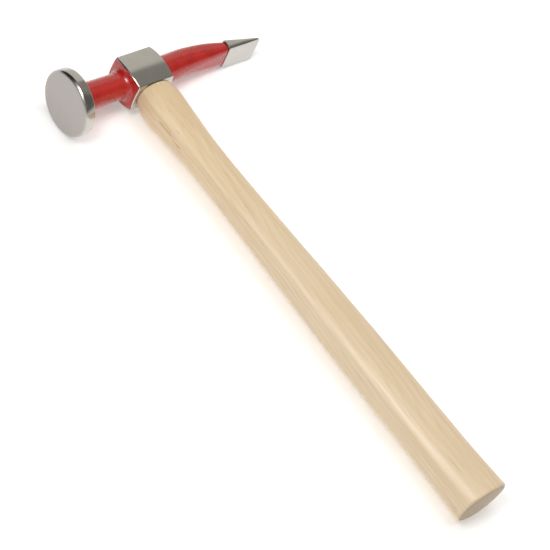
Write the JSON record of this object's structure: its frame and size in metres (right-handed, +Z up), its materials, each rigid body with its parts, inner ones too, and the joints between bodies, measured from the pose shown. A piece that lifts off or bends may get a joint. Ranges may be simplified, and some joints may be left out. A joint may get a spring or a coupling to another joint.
{
  "type": "panel hammer",
  "caption": "Panel beating hammer with a wide round striking face, a curved cross peen and a shaped hickory handle wedged into its eye, lying on its side.",
  "frame": {"origin": "middle of the footprint of the hammer lying on its side, at the bench", "axes": "+X along the handle from the head to the butt, -Y the way the striking face looks, +Y the way the peen points, +Z up; the hammer lies as it would on a bench, leaning 4.5 degrees onto its peen"},
  "size_m": [0.3364, 0.1406, 0.0402],
  "materials": {
    "polished_steel": "polished forged steel on the striking disc, cheeks and peen",
    "red_paint": "gloss red enamel on the neck, the block ends and the arm",
    "hickory": "pale straight-grained hickory under clear lacquer",
    "wedge_wood": "darker hardwood, sawn flush",
    "wedge_steel": "plain mild steel, ground flush"
  },
  "bodies": {
    "root": {"head": "polished_steel", "handle": "hickory", "wooden_wedge": "wedge_wood", "steel_wedges": "wedge_steel"}
  },
  "joints": []
}
